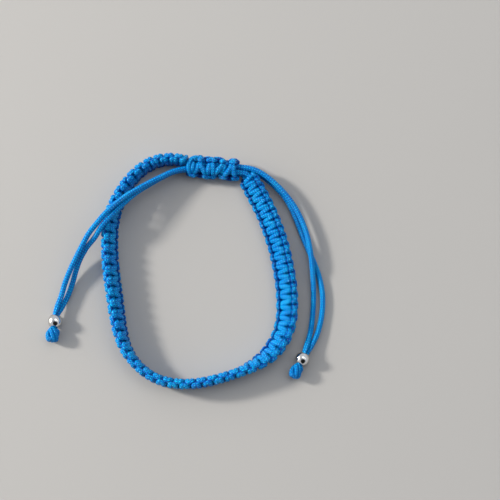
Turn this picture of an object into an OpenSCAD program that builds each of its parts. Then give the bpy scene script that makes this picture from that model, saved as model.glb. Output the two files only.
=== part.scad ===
// Adjustable macrame bracelet lying closed on a flat surface, in millimetres.
// A band of square knots tied round two core cords makes the loop. The four core
// ends run through a sliding knot and leave it in two pairs, each pair ending in
// a round metal bead and a tied end knot.

/* [Band] */
// Width of the band across its flat face
band_w = 6.3; // [6.0:0.1:6.4]
// Thickness of the band from front bars to back bars
band_t = 2.9; // [2.8:0.1:3.1]
// Length of one full square knot along the band
knot_pitch = 2.95; // [2.6:0.05:3.3]
// How far a knot's lobes stand out, as a share of the section
knot_relief = 0.1; // [0:0.01:0.12]

/* [Sliding knot] */
// Width of the sliding knot seen from above
slide_w = 6.2; // [6.0:0.1:6.6]
// Height of the sliding knot off the surface
slide_h = 5.4; // [5.2:0.1:5.8]
// Number of square knots tied in the sliding knot, the last of which may be a half
slide_knots = 4.5; // [3:0.5:5]

/* [Cords] */
// Diameter of every cord
cord_d = 1.5; // [1.3:0.1:1.5]

/* [Beads and end knots] */
// Diameter of a bead
bead_d = 4; // [3.8:0.1:4]
// Diameter of the hole through a bead
bead_hole = 2; // [1.8:0.1:2.2]
// Width of an end knot
end_knot_w = 3.8; // [3.4:0.1:3.8]
// Length of an end knot
end_knot_l = 3.9; // [3.7:0.1:4.3]

/* [Hidden] */
$fn = 48;

CORD_COLOR = [0.02, 0.36, 0.80];
BEAD_COLOR = [0.78, 0.77, 0.75];

// Sides of the band's section, of the sliding knot's section and of a cord
BAND_SIDES = 14;
SLIDE_SIDES = 16;
CORD_SIDES = 8;
// Rings along one square knot
RINGS_PER_KNOT = 4;
// A power under 1 fills an oval out towards a rounded box
BAND_FILL = 0.82;
SLIDE_FILL = 0.75;
// Clearance between a cord and what it runs through
CORD_GAP = 0.1;
// How far a core runs straight on before it bends from the band to the sliding knot
CORE_LEAD = 1;

// Middle of the sliding knot's left mouth, its length and the turn of its axis
SLIDE_X = -3.8;
SLIDE_Y = 29.7;
SLIDE_LEN = 15;
SLIDE_TURN = -4.5;

// Half the spacing of the four cores, which run two by two
core_off = (cord_d + CORD_GAP) / 2;

// Columns of the band's route: x, y, and the roll of the face, which is 0 where
// the face lies level and 90 where the band stands on its edge
COL_ROLL = 2;
BAND_ROUTE = [
    [13.6, 26.0, 34],
    [14.8, 23.9, 28],
    [16.8, 20.1, 25],
    [18.9, 15.7, 25],
    [20.6, 11.1, 25],
    [22.1,  6.3, 25],
    [23.2,  1.2, 24],
    [24.0, -3.8, 23],
    [24.3, -8.6, 24],
    [24.1, -13.4, 28],
    [22.9, -17.9, 34],
    [20.6, -21.8, 44],
    [17.4, -24.9, 60],
    [13.4, -27.3, 77],
    [ 8.9, -29.1, 87],
    [ 4.2, -30.5, 90],
    [-0.7, -31.4, 90],
    [-5.6, -31.5, 90],
    [-10.2, -30.6, 90],
    [-14.3, -28.5, 88],
    [-17.7, -25.4, 85],
    [-20.2, -21.6, 80],
    [-21.7, -17.2, 73],
    [-22.7, -12.3, 67],
    [-23.5, -7.3, 64],
    [-24.3, -2.3, 63],
    [-24.9,  2.8, 63],
    [-25.2,  7.9, 64],
    [-25.0, 12.7, 66],
    [-24.0, 17.3, 71],
    [-22.3, 21.4, 77],
    [-19.9, 25.2, 82],
    [-16.8, 28.5, 86],
    [-13.0, 30.8, 88],
    [-8.7, 31.6, 90],
    [-4.7, 31.2, 90]
];

// Routes of the cord tails from the sliding knot's mouths to the beads
TAIL_LEFT_UPPER = [
    [-7.5, 27.9, 4.3], [-10.8, 26.2, 4.9], [-14.0, 24.4, 5.6], [-17.1, 22.4, 6.4],
    [-20.2, 20.3, 7.1], [-23.1, 17.9, 7.6], [-25.8, 15.3, 7.7], [-28.3, 12.5, 7.1],
    [-30.6, 9.7, 6.3], [-32.5, 6.5, 5.3], [-34.3, 3.2, 4.3], [-36.0, -0.2, 3.4],
    [-37.4, -3.7, 2.7], [-38.4, -7.3, 2.4]
];
TAIL_LEFT_LOWER = [
    [-7.5, 28.1, 2.7], [-10.8, 26.4, 3.3], [-13.9, 24.4, 3.9], [-16.9, 22.3, 4.7],
    [-19.6, 19.9, 5.6], [-22.1, 17.2, 6.5], [-24.5, 14.5, 7.1], [-26.9, 11.8, 6.8],
    [-29.0, 8.8, 5.5], [-31.4, 6.2, 4.0], [-33.3, 3.2, 2.8], [-34.6, -0.1, 1.9],
    [-35.6, -3.6, 1.2], [-36.9, -7.2, 0.9]
];
TAIL_RIGHT_UPPER = [
    [15.3, 28.5, 3.7], [18.8, 26.5, 3.5], [21.9, 23.8, 3.2], [24.7, 20.7, 2.8],
    [27.0, 17.3, 2.5], [28.7, 13.7, 2.4], [30.0, 9.9, 2.4], [30.8, 5.9, 2.4],
    [31.3, 1.9, 2.3], [31.6, -2.1, 1.5], [31.7, -6.1, 0.9], [31.6, -10.1, 0.8],
    [31.2, -14.2, 0.9], [30.5, -18.1, 1.3]
];
TAIL_RIGHT_LOWER = [
    [15.0, 28.4, 2.1], [18.6, 26.2, 1.8], [21.7, 23.5, 1.5], [24.3, 20.4, 1.2],
    [26.2, 16.8, 1.0], [27.7, 13.0, 0.8], [29.1, 9.2, 0.8], [30.7, 5.4, 0.8],
    [32.3, 1.6, 0.8], [33.5, -2.2, 0.8], [34.2, -6.2, 0.8], [34.2, -10.3, 0.8],
    [33.6, -14.3, 0.8], [32.4, -18.2, 1.0]
];

// Middle of each bead and the way its hole points, from the cords to the knot
BEAD_LEFT = [-39.9, -14.2];
BEAD_LEFT_TURN = -99;
BEAD_RIGHT = [28.4, -24.6];
BEAD_RIGHT_TURN = -118;

// How far the two cords at a bead are turned round its hole from lying side by side
PAIR_TWIST = 35;
// Thickness of one wrap of an end knot, as a share of the knot's width
WRAP_SHARE = 0.56;

// Smooth curve through rows p1 and p2 of a table, f of the way along
function blend(p0, p1, p2, p3, f) =
    0.5 * (2 * p1 + (p2 - p0) * f
    + (2 * p0 - 5 * p1 + 4 * p2 - p3) * f * f
    + (3 * p1 - p0 - 3 * p2 + p3) * f * f * f);

function row(table, i) = table[max(0, min(len(table) - 1, i))];

function along(table, u) =
    let (i = min(len(table) - 2, floor(u)))
    blend(row(table, i - 1), row(table, i), row(table, i + 1), row(table, i + 2), u - i);

function flat(p) = [p[0], p[1]];

// Pairs of arc length and row number, by which a length finds its place in the table
STEPS_PER_ROW = 10;
route_steps = (len(BAND_ROUTE) - 1) * STEPS_PER_ROW;
function band_xy(k) = flat(along(BAND_ROUTE, k / STEPS_PER_ROW));
band_lengths = [
    for (k = 0, s = 0; k <= route_steps; k = k + 1, s = s + norm(band_xy(k) - band_xy(k - 1)))
        [s, k / STEPS_PER_ROW]
];
band_len = band_lengths[route_steps][0];
knot_count = round(band_len / knot_pitch);
pitch = band_len / knot_count;

// Sign-keeping power, which turns a circle's sine or cosine into a fuller oval's
function full(v, fill) = sign(v) * pow(abs(v), fill);

// A point of a knotted section, as [across, normal], at a share of a knot. The
// working cords make four rows of lobes, and neighbouring rows are half a knot apart.
function knot_point(w, t, fill, angle, share) =
    let (swell = 1 + knot_relief * sin(2 * angle) * cos(360 * share))
    let (bar = 1 + knot_relief * 0.5 * cos(720 * share))
    [w / 2 * full(cos(angle), fill) * swell, t / 2 * full(sin(angle), fill) * swell * bar];

function ring_angles(sides) = [for (j = [0 : sides - 1]) 360 * j / sides];

// Height of a knotted section's middle that sets its lowest lobe on the surface
function rest_height(w, t, fill, sides, roll) =
    max([for (a = ring_angles(sides), share = [0, 0.5])
        let (p = knot_point(w, t, fill, a, share)) p[0] * sin(roll) + p[1] * cos(roll)]);

// The band at arc length s, as its middle, the way it runs, and its across direction
function band_place(s) =
    let (u = lookup(s, band_lengths))
    let (here = along(BAND_ROUTE, u))
    let (step = flat(along(BAND_ROUTE, u + 0.05)) - flat(along(BAND_ROUTE, u - 0.05)))
    let (way = [step[0], step[1], 0] / norm(step))
    let (roll = here[COL_ROLL])
    let (across = [-way[1] * cos(roll), way[0] * cos(roll), sin(roll)])
    [[here[0], here[1], rest_height(band_w, band_t, BAND_FILL, BAND_SIDES, roll)], way, across];

// One ring of the band, at arc length s
function band_ring(s) =
    let (place = band_place(s))
    let (across = place[2])
    let (normal = cross(place[1], across))
    [for (a = ring_angles(BAND_SIDES))
        let (p = knot_point(band_w, band_t, BAND_FILL, a, s / pitch))
        place[0] + across * p[0] + normal * p[1]];

// Closed skin over a list of rings that all have the same number of points
module skin(rings) {
    sides = len(rings[0]);
    last = len(rings) - 1;
    points = [for (ring = rings, p = ring) p];
    walls = [
        for (i = [0 : last - 1], j = [0 : sides - 1])
            let (k = (j + 1) % sides)
            let (a = i * sides + j, b = i * sides + k)
            each [[a, b, b + sides], [a, b + sides, a + sides]]
    ];
    start = [for (j = [sides - 1 : -1 : 0]) j];
    end = [for (j = [0 : sides - 1]) last * sides + j];
    polyhedron(points, concat([start], walls, [end]), convexity = 12);
}

// Ring of a round cord at p, square to the way it runs
function cord_ring(p, way) =
    let (side = cross(way, [0, 0, 1]) / norm(cross(way, [0, 0, 1])))
    let (rise = cross(side, way) / norm(way))
    [for (a = ring_angles(CORD_SIDES)) p + (side * cos(a) + rise * sin(a)) * cord_d / 2];

// Round cord through the points of a route, whose ends face along first and final
module cord(route, first, final) {
    last = len(route) - 1;
    skin([
        for (i = [0 : last])
            cord_ring(route[i], i == 0 ? first : i == last ? final : route[i + 1] - route[i - 1])
    ]);
}

slide_way = [cos(SLIDE_TURN), sin(SLIDE_TURN), 0];
slide_out = [-sin(SLIDE_TURN), cos(SLIDE_TURN), 0];
slide_mid = rest_height(slide_w, slide_h, SLIDE_FILL, SLIDE_SIDES, 0);

// Place in the sliding knot: u along it, v outwards and w up from its axis
function in_slide(u, v, w) =
    [SLIDE_X, SLIDE_Y, slide_mid] + slide_way * u + slide_out * v + [0, 0, w];

// Way that a bead's hole points
function hole_way(turn) = [cos(turn), sin(turn), 0];

// Place of the upper (level 1) or lower (level -1) cord of a pair, u along a bead's hole
function by_bead(middle, turn, u, level) =
    [middle[0], middle[1], bead_d / 2] + hole_way(turn) * u
    + [sin(turn) * cos(PAIR_TWIST), -cos(turn) * cos(PAIR_TWIST), sin(PAIR_TWIST)] * level * core_off;

module macrame_band() {
    ring_count = knot_count * RINGS_PER_KNOT;
    color(CORD_COLOR)
        skin([for (i = [0 : ring_count]) band_ring(i * pitch / RINGS_PER_KNOT)]);
}

module sliding_knot() {
    ring_count = slide_knots * RINGS_PER_KNOT;
    color(CORD_COLOR)
        difference() {
            skin([
                for (i = [0 : ring_count])
                    [for (a = ring_angles(SLIDE_SIDES))
                        let (p = knot_point(slide_w, slide_h, SLIDE_FILL, a, i / RINGS_PER_KNOT))
                        in_slide(SLIDE_LEN * i / ring_count, p[0], p[1])]
            ]);
            core_passage();
        }
}

// Passage through the sliding knot that the four cores fill
module core_passage() {
    translate(in_slide(-1, 0, 0))
        rotate([90, 0, 90 + SLIDE_TURN])
            linear_extrude(SLIDE_LEN + 2)
                union() {
                    square([4 * core_off, 2 * core_off], center = true);
                    square([2 * core_off, 4 * core_off], center = true);
                    for (v = [-core_off, core_off], w = [-core_off, core_off])
                        translate([v, w])
                            circle(d = cord_d + CORD_GAP);
                }
}

// Two cores from the start of the band, round to the sliding knot and leftwards through it
module core_pair_inner() {
    place = band_place(0);
    way = -place[1];
    leave = place[0] + way * CORD_GAP;
    enter = in_slide(SLIDE_LEN, -core_off, 0);
    bend = (leave + enter + (way + slide_way) * CORE_LEAD) / 2;
    halfway = place[2] + [0, 0, 1];
    color(CORD_COLOR)
        for (level = [-core_off, core_off])
            cord([
                leave + place[2] * level,
                bend + halfway / norm(halfway) * level,
                enter + [0, 0, level],
                in_slide(0, -core_off, level)
            ], way, -slide_way);
}

// Two cores from the end of the band, straight on and rightwards through the sliding knot
module core_pair_outer() {
    place = band_place(band_len);
    way = place[1];
    color(CORD_COLOR)
        for (level = [-core_off, core_off])
            cord([
                place[0] + way * CORD_GAP + place[2] * level,
                in_slide(CORD_GAP, core_off, level),
                in_slide(SLIDE_LEN, core_off, level)
            ], way, slide_way);
}

// Cord tail from its place in a mouth of the sliding knot to the near side of a bead,
// with level 1 for the upper cord of a pair and -1 for the lower one
module tail(mouth, way, route, middle, turn, level) {
    color(CORD_COLOR)
        cord(concat([mouth], route, [by_bead(middle, turn, -bead_d / 2 - CORD_GAP, level)]),
            way, hole_way(turn));
}

module left_tail(route, level) {
    tail(in_slide(-CORD_GAP, -core_off, level * core_off), -slide_way, route,
        BEAD_LEFT, BEAD_LEFT_TURN, level);
}

module right_tail(route, level) {
    tail(in_slide(SLIDE_LEN + CORD_GAP, core_off, level * core_off), slide_way, route,
        BEAD_RIGHT, BEAD_RIGHT_TURN, level);
}

module tail_left_upper() {
    left_tail(TAIL_LEFT_UPPER, 1);
}

module tail_left_lower() {
    left_tail(TAIL_LEFT_LOWER, -1);
}

module tail_right_upper() {
    right_tail(TAIL_RIGHT_UPPER, 1);
}

module tail_right_lower() {
    right_tail(TAIL_RIGHT_LOWER, -1);
}

// Round bead with a straight hole, resting on the surface
module bead(middle, turn) {
    color(BEAD_COLOR)
        translate([middle[0], middle[1], bead_d / 2])
            rotate([0, 90, turn])
                difference() {
                    sphere(d = bead_d);
                    cylinder(d = bead_hole, h = 2 * bead_d, center = true);
                }
}

// End knot of two wraps seated on the bead, with the squeezed cords as a neck in its hole
module end_knot(middle, turn) {
    neck_r = bead_hole / 2 - CORD_GAP;
    wrap_r = end_knot_w * WRAP_SHARE / 2;
    ring_r = end_knot_w / 2 - wrap_r;
    reach = bead_d / 2 + CORD_GAP;
    near_wrap = sqrt(pow(reach + wrap_r, 2) - pow(ring_r, 2));
    far_wrap = reach + end_knot_l - wrap_r;
    color(CORD_COLOR)
        translate([middle[0], middle[1], bead_d / 2])
            rotate([0, 90, turn])
                rotate_extrude()
                    intersection() {
                        union() {
                            translate([0, -bead_d / 2])
                                square([neck_r, bead_d / 2 + far_wrap]);
                            for (u = [near_wrap, far_wrap]) {
                                translate([ring_r, u])
                                    circle(r = wrap_r);
                                translate([0, u - wrap_r])
                                    square([ring_r, 2 * wrap_r]);
                            }
                        }
                        translate([0, -bead_d])
                            square([end_knot_w, 3 * bead_d]);
                    }
}

module bead_left() {
    bead(BEAD_LEFT, BEAD_LEFT_TURN);
}

module bead_right() {
    bead(BEAD_RIGHT, BEAD_RIGHT_TURN);
}

module end_knot_left() {
    end_knot(BEAD_LEFT, BEAD_LEFT_TURN);
}

module end_knot_right() {
    end_knot(BEAD_RIGHT, BEAD_RIGHT_TURN);
}

macrame_band();
sliding_knot();
core_pair_inner();
core_pair_outer();
tail_left_upper();
tail_left_lower();
tail_right_upper();
tail_right_lower();
bead_left();
bead_right();
end_knot_left();
end_knot_right();
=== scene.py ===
"""A bright blue macrame bracelet with a sliding knot, lying closed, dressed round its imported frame."""

import logging
import math
from abc import ABC, abstractmethod
from dataclasses import dataclass, field
from enum import Enum
from typing import Any, Sequence

import bpy
import numpy as np
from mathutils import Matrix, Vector


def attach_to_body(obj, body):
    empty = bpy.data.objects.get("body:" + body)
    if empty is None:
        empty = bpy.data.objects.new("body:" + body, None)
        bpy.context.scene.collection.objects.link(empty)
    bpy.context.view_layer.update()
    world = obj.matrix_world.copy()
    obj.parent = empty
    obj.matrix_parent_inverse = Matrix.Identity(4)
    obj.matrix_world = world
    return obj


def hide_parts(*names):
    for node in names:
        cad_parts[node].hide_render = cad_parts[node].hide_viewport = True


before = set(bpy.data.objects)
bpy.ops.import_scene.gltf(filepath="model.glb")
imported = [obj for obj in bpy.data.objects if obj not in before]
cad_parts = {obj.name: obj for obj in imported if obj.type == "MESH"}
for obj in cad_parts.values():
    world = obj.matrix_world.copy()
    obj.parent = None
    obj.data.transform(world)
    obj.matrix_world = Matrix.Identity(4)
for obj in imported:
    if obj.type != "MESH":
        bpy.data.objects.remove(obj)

Array = np.ndarray

LOG = logging.getLogger("bracelet")
ROOT = "root"
MM = 0.001
BRAID_MAP = "BraidMap"
BAKE_MAP = "OFBake"

# The two halves of a bake map, as corner and size.
HALVES = ((0, 0, 0.5, 1), (0.5, 0, 0.5, 1))

# Gaps beside and at the ends of a bake map's strips, as shares of a strip.
STRIP_SIDE_GAP = 0.04
STRIP_END_GAP = 0.01

# Angles of the rings on a cord's round tip, in degrees.
TIP_ANGLES = (24, 45, 63, 78, 87)

# Spacing of a plain cord's rings in millimetres, and points on a ring.
RING_STEP = 0.2
RING_SIDES = 20

# Two cords in a bead's hole, in millimetres: each one's place off the hole's axis, there and just
# before the hole, and its half thickness.
IN_HOLE_OFF = 0.46
BEFORE_HOLE_OFF = 0.56
IN_HOLE_THICK = 0.46

# Sizes shared by the part's source and this scene, in millimetres.
CORD_D = 1.5
CORE_OFF = 0.8
BEAD_D = 4.0
BEAD_HOLE = 2.0
PAIR_TWIST = 35.0
SLIDE_LEN = 15.0
SLIDE_TURN = -4.5
SLIDE_MOUTH = (-3.8, 29.7)
SLIDE_MID = 2.85

# Band route: x, y in millimetres and the roll of the face in degrees.
BAND_ROUTE = np.array([
    (13.6, 26.0, 34), (14.8, 23.9, 28), (16.8, 20.1, 25), (18.9, 15.7, 25), (20.6, 11.1, 25),
    (22.1, 6.3, 25), (23.2, 1.2, 24), (24.0, -3.8, 23), (24.3, -8.6, 24), (24.1, -13.4, 28),
    (22.9, -17.9, 34), (20.6, -21.8, 44), (17.4, -24.9, 60), (13.4, -27.3, 77), (8.9, -29.1, 87),
    (4.2, -30.5, 90), (-0.7, -31.4, 90), (-5.6, -31.5, 90), (-10.2, -30.6, 90), (-14.3, -28.5, 88),
    (-17.7, -25.4, 85), (-20.2, -21.6, 80), (-21.7, -17.2, 73), (-22.7, -12.3, 67),
    (-23.5, -7.3, 64), (-24.3, -2.3, 63), (-24.9, 2.8, 63), (-25.2, 7.9, 64), (-25.0, 12.7, 66),
    (-24.0, 17.3, 71), (-22.3, 21.4, 77), (-19.9, 25.2, 82), (-16.8, 28.5, 86), (-13.0, 30.8, 88),
    (-8.7, 31.6, 90), (-4.7, 31.2, 90),
], dtype=float)

# Routes of the four tails: x, y, z in millimetres.
TAIL_LEFT_UPPER = (
    (-7.5, 27.9, 4.3), (-10.8, 26.2, 4.9), (-14.0, 24.4, 5.6), (-17.1, 22.4, 6.4),
    (-20.2, 20.3, 7.1), (-23.1, 17.9, 7.6), (-25.8, 15.3, 7.7), (-28.3, 12.5, 7.1),
    (-30.6, 9.7, 6.3), (-32.5, 6.5, 5.3), (-34.3, 3.2, 4.3), (-36.0, -0.2, 3.4),
    (-37.4, -3.7, 2.7), (-38.4, -7.3, 2.4),
)
TAIL_LEFT_LOWER = (
    (-7.5, 28.1, 2.7), (-10.8, 26.4, 3.3), (-13.9, 24.4, 3.9), (-16.9, 22.3, 4.7),
    (-19.6, 19.9, 5.6), (-22.1, 17.2, 6.5), (-24.5, 14.5, 7.1), (-26.9, 11.8, 6.8),
    (-29.0, 8.8, 5.5), (-31.4, 6.2, 4.0), (-33.3, 3.2, 2.8), (-34.6, -0.1, 1.9),
    (-35.6, -3.6, 1.2), (-36.9, -7.2, 0.9),
)
TAIL_RIGHT_UPPER = (
    (15.3, 28.5, 3.7), (18.8, 26.5, 3.5), (21.9, 23.8, 3.2), (24.7, 20.7, 2.8),
    (27.0, 17.3, 2.5), (28.7, 13.7, 2.4), (30.0, 9.9, 2.4), (30.8, 5.9, 2.4),
    (31.3, 1.9, 2.3), (31.6, -2.1, 1.5), (31.7, -6.1, 0.9), (31.6, -10.1, 0.8),
    (31.2, -14.2, 0.9), (30.5, -18.1, 1.3),
)
TAIL_RIGHT_LOWER = (
    (15.0, 28.4, 2.1), (18.6, 26.2, 1.8), (21.7, 23.5, 1.5), (24.3, 20.4, 1.2),
    (26.2, 16.8, 1.0), (27.7, 13.0, 0.8), (29.1, 9.2, 0.8), (30.7, 5.4, 0.8),
    (32.3, 1.6, 0.8), (33.5, -2.2, 0.8), (34.2, -6.2, 0.8), (34.2, -10.3, 0.8),
    (33.6, -14.3, 0.8), (32.4, -18.2, 1.0),
)


class Slot(Enum):
    """The record's material slots."""

    CORD = "braided_cord"
    STEEL = "steel_bead"


class Side(Enum):
    """The two ends of the sliding knot, with the sign of its outward direction."""

    LEFT = -1
    RIGHT = 1


def unit(rows: Array) -> Array:
    """Rows divided by their own lengths."""
    return rows / np.maximum(np.linalg.norm(rows, axis=-1, keepdims=True), 1e-12)


def through(table: Array, u: Array) -> Array:
    """Reads a smooth curve through a table's rows at fractional row numbers.

    Between rows p1 and p2, at share f, the curve is half of
    2 p1 + (p2 - p0) f + (2 p0 - 5 p1 + 4 p2 - p3) f^2 + (3 p1 - p0 - 3 p2 + p3) f^3,
    with the end rows repeated outwards, as in the part's source.

    Args:
        table: One row for each point that the curve runs through.
        u: Row numbers, which need not be whole.

    Returns:
        One row for each number in u.
    """
    last = len(table) - 1
    i = np.clip(np.floor(u).astype(int), 0, last - 1)
    f = (u - i)[:, None]
    p0, p1, p2, p3 = (table[np.clip(i + k, 0, last)] for k in (-1, 0, 1, 2))
    return 0.5 * (
        2 * p1 + (p2 - p0) * f
        + (2 * p0 - 5 * p1 + 4 * p2 - p3) * f**2
        + (3 * p1 - p0 - 3 * p2 + p3) * f**3
    )


def run_lengths(points: Array) -> Array:
    """Distance along a line of points, from 0 at the first."""
    return np.concatenate([[0.0], np.cumsum(np.linalg.norm(np.diff(points, axis=0), axis=1))])


def evenly(points: Array, step: float) -> Array:
    """A smooth curve through points, read again about every step.

    Args:
        points: Rows whose first three columns are the place; the rest go along.
        step: Spacing wanted.

    Returns:
        Rows evenly spaced by arc length.
    """
    per_point = 24
    fine = through(points, np.linspace(0, len(points) - 1, per_point * len(points)))
    s = run_lengths(fine[:, :3])
    even = np.linspace(0, s[-1], max(2, round(s[-1] / step)) + 1)
    return np.stack([np.interp(even, s, column) for column in fine.T], axis=1)


@dataclass(frozen=True)
class Tube:
    """A cord as a line of elliptical rings, in millimetres.

    Attributes:
        centre: Ring centres.
        out: For each ring, the direction in which its thickness is measured.
        wide: Half width across out.
        thick: Half thickness along out.
    """

    centre: Array
    out: Array
    wide: Array
    thick: Array

    def rings(self, sides: int) -> Array:
        """Points of all rings.

        A ring's point at angle a is centre + side wide cos(a) + out thick sin(a), where side is
        out x way, so that the angle runs round the way that the cord goes.

        Args:
            sides: Points on a ring.

        Returns:
            An array of rings by sides by 3.
        """
        way = unit(np.gradient(self.centre, axis=0))
        out = unit(self.out - (self.out * way).sum(1)[:, None] * way)
        side = np.cross(out, way)
        angle = np.arange(sides) * (2 * math.pi / sides)
        return (
            self.centre[:, None]
            + side[:, None] * (self.wide[:, None] * np.cos(angle))[..., None]
            + out[:, None] * (self.thick[:, None] * np.sin(angle))[..., None]
        )

    def rounded(self) -> "Tube":
        """The same tube with round tips in place of flat ends.

        A tip's rings lie at share sin(b) of the half thickness beyond the end and are cos(b) as large.

        Returns:
            A new tube.
        """
        b = np.radians(TIP_ANGLES)
        way = unit(np.gradient(self.centre, axis=0))
        parts = {name: [getattr(self, name)] for name in ("centre", "out", "wide", "thick")}
        for i, sign in ((0, -1), (-1, 1)):
            order = slice(None, None, sign)
            reach = (np.sin(b) * self.thick[i])[order, None]
            tip = {
                "centre": self.centre[i] + sign * reach * way[i],
                "out": np.repeat(self.out[i][None], len(b), axis=0),
                "wide": (np.cos(b) * self.wide[i])[order],
                "thick": (np.cos(b) * self.thick[i])[order],
            }
            for name, rows in tip.items():
                parts[name].insert(0 if sign < 0 else len(parts[name]), rows)
        return Tube(**{name: np.concatenate(rows) for name, rows in parts.items()})


def round_tube(points: Array, radius: float) -> Tube:
    """A round tube along points, with its outermost line on top."""
    radii = np.full(len(points), radius)
    return Tube(points, np.tile((0.0, 0, 1), (len(points), 1)), radii, radii)


def placed(name: str, data: bpy.types.ID) -> bpy.types.Object:
    """Puts a mesh, light or camera into the scene.

    Args:
        name: The object's name.
        data: What it holds.

    Returns:
        The new object.
    """
    made = bpy.data.objects.new(name, data)
    bpy.context.scene.collection.objects.link(made)
    return made


class Skin:
    """Gathers tubes into one mesh piece with a braid map and a bake map."""

    def __init__(self, name: str) -> None:
        """Starts an empty skin.

        Args:
            name: The name of the piece that it becomes.
        """
        self.name = name
        self.points: list[Array] = []
        self.faces: list[Array] = []
        self.braid: list[Array] = []
        self.bake: list[Array] = []
        self.count = 0

    def tube(self, tube: Tube, sides: int, cell: tuple[float, ...] = (0, 0, 1, 1)) -> None:
        """Adds a closed tube.

        The braid map's u is the turn round the cord and its v the length along the cord's outermost
        line in millimetres, so that the braid is even on the side that shows. The bake map cuts the
        tube into strips that stand side by side in the cell.

        Args:
            tube: The tube to add.
            sides: Points on a ring.
            cell: Corner and size of the bake map's part for this tube.
        """
        grid = tube.rings(sides)
        rings = len(grid)
        poles = tube.centre[[0, -1]]
        self.points.append(np.concatenate([grid.reshape(-1, 3), poles]))
        i, j = np.meshgrid(np.arange(rings - 1), np.arange(sides), indexing="ij")
        i, j = i.ravel(), j.ravel()
        k = (j + 1) % sides
        quads = np.stack([i * sides + j, i * sides + k, (i + 1) * sides + k, (i + 1) * sides + j], 1)
        ring = np.arange(sides)
        after = (ring + 1) % sides
        first_pole, last_pole = rings * sides, rings * sides + 1
        end_ring = (rings - 1) * sides
        start = np.stack([np.full(sides, first_pole), after, ring, ring], 1)
        end = np.stack([np.full(sides, last_pole), end_ring + ring, end_ring + after, end_ring + after], 1)
        self.faces.append(np.concatenate([quads, start, end]) + self.count)
        self.count += rings * sides + 2

        outermost = run_lengths(grid[:, sides // 4])
        share_round = np.stack([j, j + 1, j + 1, j], 1) / sides
        ring_of = np.stack([i, i, i + 1, i + 1], 1)
        cap = np.stack([ring, ring + 1, ring, ring], 1) / sides
        self.braid.append(np.stack([share_round, outermost[ring_of]], -1))
        self.braid += [np.stack([cap, np.full(cap.shape, v)], -1) for v in (0.0, outermost[-1])]

        x, y = self.strips(tube, share_round, ring_of, cell)
        self.bake.append(np.stack([x, y], -1))
        for corner in ((x[0, 0], y[0, 0]), (x[-1, 0], y[-1, 2])):
            self.bake.append(np.broadcast_to(corner, (*cap.shape, 2)))

    @staticmethod
    def strips(
        tube: Tube, share_round: Array, ring_of: Array, cell: tuple[float, ...],
    ) -> tuple[Array, Array]:
        """Places a tube's faces on the bake map, in strips of about the cord's own proportions.

        Args:
            tube: The tube.
            share_round: For each corner of each face, its turn round the cord.
            ring_of: For each corner, its ring.
            cell: Corner and size of the bake map's part for this tube.

        Returns:
            Places across and up the map.
        """
        left, low_edge, width, height = cell
        last = len(tube.centre) - 1
        length = run_lengths(tube.centre)
        turn = 2 * math.pi * np.sqrt((tube.wide**2 + tube.thick**2) / 2).mean()
        count = max(1, round(math.sqrt(length[-1] * width / (turn * height))))
        per_strip = -(-last // count)
        share = length / length[-1]
        strip = ring_of[:, :1] // per_strip
        low, high = share[strip * per_strip], share[np.minimum((strip + 1) * per_strip, last)]
        up = (share[ring_of] - low) / (high - low).max()
        x = left + width * (strip + STRIP_SIDE_GAP + (1 - 2 * STRIP_SIDE_GAP) * share_round) / count
        y = low_edge + height * (STRIP_END_GAP + (1 - 2 * STRIP_END_GAP) * up)
        return x, y

    def piece(self) -> bpy.types.Object:
        """Makes the mesh object, in metres, with smooth faces.

        Returns:
            The new object, linked to the scene.
        """
        points = np.concatenate(self.points) * MM
        faces = np.concatenate(self.faces)
        size = np.where(faces[:, 2] == faces[:, 3], 3, 4)
        keep = np.arange(4)[None] < size[:, None]
        starts = np.concatenate([[0], np.cumsum(size)[:-1]])
        mesh = bpy.data.meshes.new(self.name)
        mesh.vertices.add(len(points))
        mesh.vertices.foreach_set("co", points.astype(np.float32).ravel())
        mesh.loops.add(int(size.sum()))
        mesh.loops.foreach_set("vertex_index", faces[keep].astype(np.int32))
        mesh.polygons.add(len(faces))
        mesh.polygons.foreach_set("loop_start", starts.astype(np.int32))
        mesh.polygons.foreach_set("use_smooth", np.ones(len(faces), bool))
        mesh.update(calc_edges=True)
        for name, rows in ((BRAID_MAP, self.braid), (BAKE_MAP, self.bake)):
            layer = mesh.uv_layers.new(name=name, do_init=False)
            layer.uv.foreach_set("vector", np.concatenate(rows)[keep].astype(np.float32).ravel())
        mesh.validate()
        return placed(self.name, mesh)


class Value:
    """A number socket that adds Math nodes when Python operators are used on it."""

    def __init__(self, shader: "Nodes", socket: bpy.types.NodeSocket) -> None:
        """Wraps an output socket of one node tree."""
        self.shader = shader
        self.socket = socket

    def _with(self, operation: str, *others: Any) -> "Value":
        """A Math node of this value and others."""
        return self.shader.math(operation, self, *others)

    def __add__(self, other: Any) -> "Value":
        """Sum."""
        return self._with("ADD", other)

    __radd__ = __add__

    def __sub__(self, other: Any) -> "Value":
        """Difference."""
        return self._with("SUBTRACT", other)

    def __rsub__(self, other: Any) -> "Value":
        """Reflected difference."""
        return self.shader.math("SUBTRACT", other, self)

    def __mul__(self, other: Any) -> "Value":
        """Product."""
        return self._with("MULTIPLY", other)

    __rmul__ = __mul__

    def __truediv__(self, other: Any) -> "Value":
        """Quotient."""
        return self._with("DIVIDE", other)

    def __mod__(self, other: Any) -> "Value":
        """Remainder that is never negative."""
        return self._with("FLOORED_MODULO", other)

    def floor(self) -> "Value":
        """Whole part."""
        return self._with("FLOOR")

    def fraction(self) -> "Value":
        """Part after the whole."""
        return self._with("FRACT")

    def sine(self) -> "Value":
        """Sine of the value in radians."""
        return self._with("SINE")

    def clamped(self) -> "Value":
        """The value held between 0 and 1."""
        return self.shader.math("MINIMUM", self.shader.math("MAXIMUM", self, 0.0), 1.0)


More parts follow.
